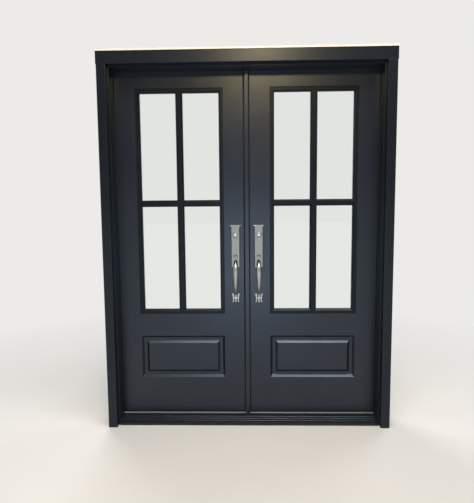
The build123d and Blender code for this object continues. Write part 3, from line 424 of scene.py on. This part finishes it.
def sealSkin(name):
    finish = Finish(name, sealFoam["pale"], sealFoam["rough"])
    pores = finish.noise(sealFoam["pores"], detail=4.0, rough=0.7)
    folds = finish.noise(sealFoam["folds"], sealFoam["foldStretch"], detail=2.0)
    finish.set("Specular IOR Level", sealFoam["shine"])
    finish.set("Base Color", finish.mix(pores, sealFoam["dark"], sealFoam["pale"]))
    finish.set("Roughness", sealFoam["rough"] + pores * sealFoam["poreRough"])
    finish.bump(pores * sealFoam["poreShare"] + folds, sealFoam["depth"])
    return finish.material


# Rigid foam of the core, which shows in no pose
rigidFoam = {
    "dark": (0.66, 0.54, 0.30),
    "pale": (0.80, 0.70, 0.44),
    "rough": 0.85,
    "cells": 500.0,
    "cellDepth": 0.0004,
}


def foam(name):
    finish = Finish(name, rigidFoam["pale"], rigidFoam["rough"])
    cells = finish.add("TexVoronoi", {}, {"Vector": finish.place(), "Scale": rigidFoam["cells"]})
    finish.set("Base Color", finish.mix(cells, rigidFoam["dark"], rigidFoam["pale"]))
    finish.bump(cells, rigidFoam["cellDepth"])
    return finish.material


# Clear float glass, faintly green, with a breath of dust
floatGlass = {
    "colour": (0.965, 0.985, 0.975),
    "ior": 1.5,
    "dust": 5,
    "dustRange": (0.5, 0.9),
    "dustRough": 0.03,
}


def clearGlass(name):
    finish = Finish(name, floatGlass["colour"], 0.0)
    specks = finish.noise(floatGlass["dust"], detail=5.0, rough=0.7)
    dust = finish.ramp(specks, *floatGlass["dustRange"])
    finish.set("Transmission Weight", 1.0)
    finish.set("IOR", floatGlass["ior"])
    finish.set("Roughness", dust * floatGlass["dustRough"])
    return finish.material


# Mill aluminium of the spacer bars inside the sealed units
millSpacer = {
    "colour": (0.62, 0.61, 0.58),
    "rough": 0.3,
    "lines": 900,
    "lineStretch": (0.02, 1, 0.02),
    "lineRough": 0.15,
    "lineDepth": 0.00002,
}


def millAluminium(name):
    finish = Finish(name, millSpacer["colour"], millSpacer["rough"], metal=1.0)
    lines = finish.noise(millSpacer["lines"], millSpacer["lineStretch"], detail=2.0)
    finish.set("Roughness", millSpacer["rough"] + lines * millSpacer["lineRough"])
    finish.bump(lines, millSpacer["lineDepth"])
    return finish.material


along = {"x": (0.02, 1, 1), "z": (1, 1, 0.02)}  # the stretch that draws a pattern out along an axis
# Colours painted on the sill's arrises and upward faces: painted highlight, partly wear; the cap's is far
# paler and bluish
sillWearAndHighlight = {"base": (0.05, 0.055, 0.065), "cap": (0.34, 0.37, 0.42)}

uprightPaint = brushedPaint("brushed_paint_upright", along["z"])
levelPaint = brushedPaint("brushed_paint_level", along["x"])
skinPaint = sprayedPaint("sprayed_skin_paint", factoryPaint)
glazingPaint = sprayedPaint("moulded_glazing_plastic", glazingPlastic)
uprightNickel = brushedNickel("brushed_nickel_upright", along["z"])
# The grip and the plug are brighter copies of the same nickel: painted highlight
gripNickel = brushedNickel("brushed_nickel_grip_painted_bright", along["z"], roughShift=-0.03, paintedBrightness=1.55)
plugNickel = brushedNickel("polished_nickel_plug_painted_bright", along["z"], roughShift=-0.12, paintedBrightness=1.8)
levelNickel = brushedNickel("brushed_nickel_level", along["x"])
hingeNickel = brushedNickel("plated_hinge_steel", along["z"], roughShift=0.06)
boltSteel = brushedNickel("plated_bolt_steel", along["x"], roughShift=0.1)
dripCoat = coatedMetal("cream_drip_coat")
deckMetal = drawnMetal("dark_drawn_deck")
sillComposite = composite("black_sill_composite", sillWearAndHighlight["base"])
capComposite = composite("cap_composite_painted_highlight", sillWearAndHighlight["cap"])
blackSeal = sealSkin("black_seal")
coreFoam = foam("core_foam")
paneGlass = clearGlass("clear_glass")
spacerMetal = millAluminium("spacer_aluminium")

frameFinishes = {
    uprightPaint: ["left_jamb", "right_jamb", "left_casing", "right_casing"],
    levelPaint: ["head_jamb", "head_casing"],
    dripCoat: ["drip_cap"],
    sillComposite: ["sill_base"],
    capComposite: ["sill_cap"],
    deckMetal: ["sill_deck"],
    blackSeal: ["left_weatherstrip", "right_weatherstrip", "head_weatherstrip"],
    boltSteel: ["bolt_strikes"],
}
lockFinishes = {
    skinPaint: ["astragal"],
    boltSteel: [
        "astragal_strikes",
        "top_flush_bolt",
        "bottom_flush_bolt",
        "right_lock_cases",
        "latch_bolt",
        "dead_bolt",
    ],
    levelNickel: ["thumbturn"],
}
leafFinishes = {
    skinPaint: ["outer_skin", "inner_skin"],
    uprightPaint: ["hinge_edge", "lock_edge"],
    levelPaint: ["end_rails"],
    coreFoam: ["core"],
    glazingPaint: ["outer_lite_frame", "inner_lite_frame"],
    blackSeal: ["sweep"],
    hingeNickel: ["frame_hinge_plates", "leaf_hinge_plates", "hinge_pins"],
    uprightNickel: ["outer_plate", "inner_plate"],
    gripNickel: ["grip"],
    plugNickel: ["key_plug"],
    levelNickel: ["thumb_piece", "lever"],
}


# Give the pieces from the solids their finishes, in place of the plain ones that they come with
def dress(finishes, prefix=""):
    for material, names in finishes.items():
        for name in names:
            nodes[prefix + name].data.materials.clear()
            nodes[prefix + name].data.materials.append(material)


dress(frameFinishes)
dress(lockFinishes)
for side in sides:
    dress(leafFinishes, f"{side}_")
print("finishes set on the frame, the locks and both leaves")


# A finished piece from a bmesh, riding on a body
def newPiece(name, work, material, body):
    mesh = bpy.data.meshes.new(name)
    bmesh.ops.recalc_face_normals(work, faces=work.faces)
    work.to_mesh(mesh)
    work.free()
    piece = bpy.data.objects.new(name, mesh)
    bpy.context.scene.collection.objects.link(piece)
    mesh.materials.append(material)
    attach(piece, body)
    return piece


# A block between two corners, its edges rounded where a rounding is given
def addBlock(work, low, high, rounding=0.0):
    size = Vector(high) - Vector(low)
    centre = (Vector(high) + Vector(low)) / 2
    shape = Matrix.Translation(centre) @ Matrix.Diagonal((*size, 1))
    made = bmesh.ops.create_cube(work, size=1, matrix=shape)
    if rounding:
        edges = list(dict.fromkeys(edge for vertex in made["verts"] for edge in vertex.link_edges))
        bmesh.ops.bevel(work, geom=edges, offset=rounding, segments=2, affect="EDGES", profile=0.5)


# Four strips round an upright rectangle, laid inwards from its corners
def addRing(work, low, high, width, front, back, rounding=0.0):
    for x in (low.x, high.x - width):
        addBlock(work, (x, front, low.z), (x + width, back, high.z), rounding)
    for z in (low.z, high.z - width):
        addBlock(work, (low.x + width, front, z), (high.x - width, back, z + width), rounding)


# Faces between two loops of as many points
def joinLoops(work, first, second):
    for step in range(len(first)):
        after = (step + 1) % len(first)
        work.faces.new((first[step], first[after], second[after], second[step]))


# Two directions square to an axis and to each other
def acrossAxis(outward):
    across = outward.orthogonal().normalized()
    return across, outward.cross(across)


# A low turned disc, closed behind: its profile gives shares of the radius and heights
def addDisc(work, spot, outward, radius, profile, count):
    across, upward = acrossAxis(outward)
    rings = []
    for share, height in profile:
        ring = []
        for step in range(count):
            angle = 2 * pi * step / count
            offset = (across * cos(angle) + upward * sin(angle)) * radius * share
            ring.append(work.verts.new(spot + offset + outward * height))
        rings.append(ring)
    for first, second in zip(rings, rings[1:]):
        joinLoops(work, first, second)
    work.faces.new(list(reversed(rings[0])))
    return rings[-1]


# Sealed glazing: two panes, a spacer round them and spacer bars behind the muntins
glazing = {
    "pane": 0.004,
    "paneRound": 0.0004,
    "spacer": 0.009,
    "spacerPlay": 0.0004,
    "barWidth": 0.018,
    "barDepth": 0.006,
    "barRound": 0.0012,
}


def sealedUnit(side):
    low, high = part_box(f"{side}_glass")
    pane, spacer, rounding = glazing["pane"], glazing["spacer"], glazing["barRound"]
    body = f"{side}_leaf"
    parts = []
    for face, y in (("outer", low.y), ("inner", high.y - pane)):
        work = bmesh.new()
        addBlock(work, (low.x, y, low.z), (high.x, y + pane, high.z), glazing["paneRound"])
        parts.append(newPiece(f"{side}_{face}_pane", work, paneGlass, body))

    work = bmesh.new()
    front = low.y + pane + glazing["spacerPlay"]
    back = high.y - pane - glazing["spacerPlay"]
    addRing(work, low, high, spacer, front, back, rounding)
    half = Vector((glazing["barWidth"], glazing["barDepth"], glazing["barWidth"])) / 2
    start = (low + high) / 2 - half
    end = (low + high) / 2 + half
    bars = (
        (start.x, low.z + spacer, end.x, high.z - spacer),
        (low.x + spacer, start.z, start.x, end.z),
        (end.x, start.z, high.x - spacer, end.z),
    )
    for x0, z0, x1, z1 in bars:
        addBlock(work, (x0, start.y, z0), (x1, end.y, z1), rounding)
    parts.append(newPiece(f"{side}_glazing_spacers", work, spacerMetal, body))
    for part in parts:
        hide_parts(f"{side}_glass")


for side in sides:
    sealedUnit(side)
print("sealed glazing built")

# Black beads as painted shade, dark strips where there is only shade: in the quirk round each glazing
# frame, on the skin beside the outer ones, and along both edges of the astragal
shadeBeads = {
    "quirk": 0.003,
    "quirkTop": 0.0006,
    "quirkFoot": 0.0046,
    "onSkin": 0.0025,
    "skinRise": 0.0005,
    "astragal": ((-0.0195, -0.0135), (0.0135, 0.0180)),
    "astragalRise": 0.0022,
    "astragalGap": 0.0003,
    "astragalRound": 0.0006,
}
skinLow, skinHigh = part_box("left_outer_skin")
leafFace, leafFoot, leafTop = skinLow.y, skinLow.z, skinHigh.z
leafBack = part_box("left_inner_skin")[1].y

for side in sides:
    quirk = shadeBeads["quirk"]
    margin = Vector((shadeBeads["onSkin"], 0, shadeBeads["onSkin"]))
    work = bmesh.new()
    low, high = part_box(f"{side}_outer_lite_frame")
    addRing(work, low, high, quirk, leafFace + shadeBeads["quirkTop"], leafFace + shadeBeads["quirkFoot"])
    addRing(work, low - margin, high + margin, shadeBeads["onSkin"], leafFace - shadeBeads["skinRise"], leafFace)
    low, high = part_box(f"{side}_inner_lite_frame")
    addRing(work, low, high, quirk, leafBack - shadeBeads["quirkFoot"], leafBack - shadeBeads["quirkTop"])
    newPiece(f"{side}_glazing_shade_bead", work, blackSeal, f"{side}_leaf")

work = bmesh.new()
for x0, x1 in shadeBeads["astragal"]:
    low = (x0, leafFace - shadeBeads["astragalRise"], leafFoot)
    high = (x1, leafFace - shadeBeads["astragalGap"], leafTop)
    addBlock(work, low, high, shadeBeads["astragalRound"])
newPiece("astragal_shade_beads", work, blackSeal, "left_leaf")

# A thin black gasket behind each outer plate, short of its foot and its crown: painted shade, a dark
# outline where the plate casts only shade
shadeGasket = {"halfWidth": 0.026, "foot": 0.003, "crown": 0.030, "thickness": 0.0012, "rounding": 0.0004}

for side in sides:
    plateLow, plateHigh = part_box(f"{side}_outer_plate")
    centreX = (plateLow.x + plateHigh.x) / 2
    front = plateHigh.y - shadeGasket["thickness"]
    low = (centreX - shadeGasket["halfWidth"], front, plateLow.z + shadeGasket["foot"])
    high = (centreX + shadeGasket["halfWidth"], plateHigh.y, plateHigh.z - shadeGasket["crown"])
    work = bmesh.new()
    addBlock(work, low, high, shadeGasket["rounding"])
    newPiece(f"{side}_plate_shade_gasket", work, blackSeal, f"{side}_leaf")
print("beads and gaskets laid")

# A countersunk screw's head with a cross recess, its seat on a plane
screw = {
    "radius": 0.0042,
    "profile": ((1.0, -0.0002), (0.94, 0.0003), (0.72, 0.00045)),
    "sides": 20,
    "crossArm": 0.0024,
    "crossHalf": 0.0005,
    "crossTaper": 0.7,
    "crossDepth": 0.0006,
}


def addScrew(work, spot, outward, scale):
    top = addDisc(work, spot, outward, screw["radius"] * scale, screw["profile"], screw["sides"])
    across, upward = acrossAxis(outward)
    arm, half = screw["crossArm"] * scale, screw["crossHalf"] * scale
    corners = [(arm, -half), (arm, half), (half, half), (half, arm), (-half, arm), (-half, half)]
    corners += [(-x, -y) for x, y in corners]

    def crossLoop(share, height):
        points = [spot + (across * x + upward * y) * share + outward * height for x, y in corners]
        return [work.verts.new(point) for point in points]

    rim = crossLoop(1.0, screw["profile"][-1][1])
    floor = crossLoop(screw["crossTaper"], -screw["crossDepth"])
    joinLoops(work, rim, floor)
    work.faces.new(floor)
    ends = [pair for loop in (top, rim) for pair in zip(loop, loop[1:] + loop[:1])]
    bmesh.ops.triangle_fill(work, edges=[work.edges.get(pair) for pair in ends], use_beauty=True)


def screwSet(name, spots, outward, material, body, scale=1.0):
    work = bmesh.new()
    for spot in spots:
        addScrew(work, Vector(spot), Vector(outward), scale)
    newPiece(name, work, material, body)


# Hinge screws, on the faces that the leaf's edge and the jamb turn to each other
hingeScrews = {
    "holes": ((0.014, 0.010), (0.040, 0.024)),  # from the plate's middle, and in from the leaf's inner face
    "plate": 0.102,
    "count": 3,
    "gap": 0.003,
}

for side, sign in sides.items():
    edgeLow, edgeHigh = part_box(f"{side}_hinge_edge")
    edgeX = edgeHigh.x if sign > 0 else edgeLow.x
    faces = {
        "frame": ("frame", edgeX + sign * hingeScrews["gap"], -sign),
        "leaf": (f"{side}_leaf", edgeX, sign),
    }
    for owner, (body, faceX, facing) in faces.items():
        low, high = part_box(f"{side}_{owner}_hinge_plates")
        bottom = low.z + hingeScrews["plate"] / 2
        top = high.z - hingeScrews["plate"] / 2
        spots = []
        for level in range(hingeScrews["count"]):
            middle = bottom + (top - bottom) * level / (hingeScrews["count"] - 1)
            for rise, depth in hingeScrews["holes"]:
                spots += [(faceX, leafBack - depth, middle + flip * rise) for flip in (-1, 1)]
        screwSet(f"{side}_{owner}_hinge_screws", spots, (facing, 0, 0), hingeNickel, body)

# Screws of the flat hardware: two to a plate, each a reach away from the plate's middle
plateScrews = {"reach": 0.102, "scale": 0.78}

for side in sides:
    low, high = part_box(f"{side}_inner_plate")
    middle = (low + high) / 2
    spots = [(middle.x, high.y, middle.z + flip * plateScrews["reach"]) for flip in (-1, 1)]
    name = f"{side}_inner_plate_screws"
    screwSet(name, spots, (0, 1, 0), uprightNickel, f"{side}_leaf", plateScrews["scale"])

# On the leaves' lock edges, where each node has a plate at its foot and one at its top
edgeScrews = {
    "astragal_strikes": {"body": "left_leaf", "facing": 1, "halfPlate": 0.0300, "reach": 0.0250},
    "right_lock_cases": {"body": "right_leaf", "facing": -1, "halfPlate": 0.0285, "reach": 0.0235},
}

for node, plate in edgeScrews.items():
    low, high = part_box(node)
    faceX = high.x if plate["facing"] > 0 else low.x
    spots = []
    for middle in (low.z + plate["halfPlate"], high.z - plate["halfPlate"]):
        spots += [(faceX, (low.y + high.y) / 2, middle + flip * plate["reach"]) for flip in (-1, 1)]
    outward = (plate["facing"], 0, 0)
    screwSet(f"{node}_screws", spots, outward, boltSteel, plate["body"], plateScrews["scale"])

# On the flush bolts' strikes, which lie in the sill and in the head
strikeScrews = {"thickness": 0.0015, "reach": 0.0152, "scale": 0.6}

low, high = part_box("bolt_strikes")
middle = (low + high) / 2
strikeFaces = {
    "sill": (low.z + strikeScrews["thickness"], 1),
    "head": (high.z - strikeScrews["thickness"], -1),
}
for name, (faceZ, facing) in strikeFaces.items():
    spots = [(middle.x, middle.y + flip * strikeScrews["reach"], faceZ) for flip in (-1, 1)]
    outward = (0, 0, facing)
    screwSet(f"{name}_strike_screws", spots, outward, boltSteel, "frame", strikeScrews["scale"])
print("screws set")

# Plugs over the fixing screws of the inner glazing frames
plugs = {
    "radius": 0.0045,
    "profile": ((1.0, -0.0003), (1.0, 0.0003), (0.86, 0.0005)),
    "sides": 24,
    "inset": 0.010,
    "levels": 4,
    "columns": 2,
}


# The middles of as many equal parts of a length
def partMiddles(start, end, count):
    return [start + (end - start) * ((part + 0.5) / count) for part in range(count)]


inward = Vector((0, 1, 0))  # the way that the inner faces look
for side in sides:
    low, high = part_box(f"{side}_inner_lite_frame")
    inset = plugs["inset"]
    heights = partMiddles(low.z, high.z, plugs["levels"])
    columns = partMiddles(low.x, high.x, plugs["columns"])
    spots = [(x, high.y, z) for x in (low.x + inset, high.x - inset) for z in heights]
    spots += [(x, high.y, z) for z in (low.z + inset, high.z - inset) for x in columns]
    work = bmesh.new()
    for spot in spots:
        top = addDisc(work, Vector(spot), inward, plugs["radius"], plugs["profile"], plugs["sides"])
        work.faces.new(top)
    newPiece(f"{side}_glazing_plugs", work, glazingPaint, f"{side}_leaf")
print("glazing plugs set")

# Stage: a pale floor that fades into the same pale background
studio = {
    "pale": (0.84, 0.83, 0.81),
    "ambient": 0.12,
    "ambientColour": (0.92, 0.94, 1.0),
    "glossShare": 0.06,  # how much of the pale background shows in gloss
    "floor": (0.80, 0.79, 0.77),
    "floorShades": (0.97, 1.02),
    "floorRough": 0.75,
    "mottle": 2.5,
    "reach": 30.0,
    "cells": 24,
    "fadeStart": 1.1,
    "fadeEnd": 3.3,
}


def paleWorld():
    world = bpy.data.worlds.new("studio")
    world.use_nodes = True
    sky = Graph(world.node_tree)
    sky.tree.nodes.remove(sky.tree.nodes["Background"])
    camera, glossy, through = (
        sky.add("LightPath", out=f"Is {kind} Ray") for kind in ("Camera", "Glossy", "Transmission")
    )
    rays = camera + glossy * studio["glossShare"] + through
    capped = sky.add("Math", {"operation": "MINIMUM"}, {0: rays, 1: 1.0})
    ambient = {"Color": opaque(studio["ambientColour"]), "Strength": studio["ambient"]}
    pale = {"Color": opaque(studio["pale"]), "Strength": 1.0}
    light, seen = (sky.add("Background", {}, values) for values in (ambient, pale))
    sky.show("World Output", capped, light, seen)
    bpy.context.scene.world = world


def paleFloor():
    cells = studio["cells"]
    work = bmesh.new()
    bmesh.ops.create_grid(work, x_segments=cells, y_segments=cells, size=studio["reach"])
    mesh = bpy.data.meshes.new("floor")
    work.to_mesh(mesh)
    work.free()
    floor = bpy.data.objects.new("floor", mesh)
    bpy.context.scene.collection.objects.link(floor)
    finish = Finish("pale_floor", studio["floor"], studio["floorRough"])
    patches = finish.noise(studio["mottle"], detail=4.0)
    finish.set("Base Color", finish.mottle(patches, studio["floor"], studio["floorShades"]))
    distance = finish.add("VectorMath", {"operation": "LENGTH"}, {0: finish.place()}, out="Value")
    span = {"From Min": studio["fadeStart"], "From Max": studio["fadeEnd"]}
    fade = finish.add("MapRange", {}, {"Value": distance, **span})
    lit = Wire(finish.tree, finish.shader.outputs[0])
    glow = finish.add("Emission", {}, {"Color": opaque(studio["pale"])})
    finish.show("Material Output", fade, lit, glow)
    mesh.materials.append(finish.material)


# Soft boxes: a key high in front, a cool one low, a warm one near the head, a fill, and two behind
lamps = {
    "key": {"spot": (0.6, -1.5, 4.3), "size": (3.6, 1.4), "watts": 135, "colour": (1.0, 0.98, 0.95)},
    "front": {"spot": (0.0, -3.6, 0.62), "size": (0.62, 1.2), "watts": 11, "colour": (0.78, 0.89, 1.0)},
    "head": {"spot": (0.14, -2.4, 2.97), "size": (0.5, 0.36), "watts": 24, "colour": (1.0, 0.70, 0.34)},
    "fill": {"spot": (-4.2, -1.6, 3.2), "size": (2.0, 2.4), "watts": 34, "colour": (0.90, 0.95, 1.0)},
    "rearKey": {"spot": (-1.6, 2.6, 4.2), "size": (2.4, 2.4), "watts": 100, "colour": (1.0, 0.98, 0.95)},
    "rearFill": {"spot": (3.2, 2.8, 2.8), "size": (2.2, 2.2), "watts": 50, "colour": (0.95, 0.97, 1.0)},
}
lampTarget = Vector((0, 0.05, 1.1))


def softBoxes():
    for name, lamp in lamps.items():
        light = bpy.data.lights.new(name, "AREA")
        light.energy = lamp["watts"]
        light.shape = "RECTANGLE"
        light.size, light.size_y = lamp["size"]
        light.color = lamp["colour"]
        holder = bpy.data.objects.new(name, light)
        holder.location = lamp["spot"]
        holder.rotation_euler = (lampTarget - Vector(lamp["spot"])).to_track_quat("-Z", "Y").to_euler()
        holder.visible_camera = False
        holder.visible_transmission = False
        bpy.context.scene.collection.objects.link(holder)


# Camera from a fit of the photograph's edges: metres, degrees, and the photograph's pixels
view = {
    "spot": (0.010, -2.648, 1.291),
    "yaw": 1.45,
    "pitch": 5.7,
    "roll": -0.5,
    "focal": 470,
    "width": 474,
    "sensor": 36,  # millimetres
}


def photoCamera():
    yaw, pitch, roll = (radians(view[key]) for key in ("yaw", "pitch", "roll"))
    forward = Vector((-sin(yaw) * cos(pitch), cos(yaw) * cos(pitch), -sin(pitch)))
    level = Vector((cos(yaw), sin(yaw), 0))
    upright = level.cross(forward)
    right = level * cos(roll) + upright * sin(roll)
    up = right.cross(forward)
    lens = bpy.data.cameras.new("photo_view")
    lens.sensor_fit = "HORIZONTAL"
    lens.sensor_width = view["sensor"]
    lens.lens = view["sensor"] * view["focal"] / view["width"]
    camera = bpy.data.objects.new("photo_view", lens)
    turn = Matrix((right, up, -forward)).transposed().to_4x4()
    camera.matrix_world = Matrix.Translation(view["spot"]) @ turn
    bpy.context.scene.collection.objects.link(camera)
    bpy.context.scene.camera = camera


paleWorld()
paleFloor()
softBoxes()
photoCamera()
bpy.context.scene.view_settings.view_transform = "Standard"
print("stage, lamps and camera set")
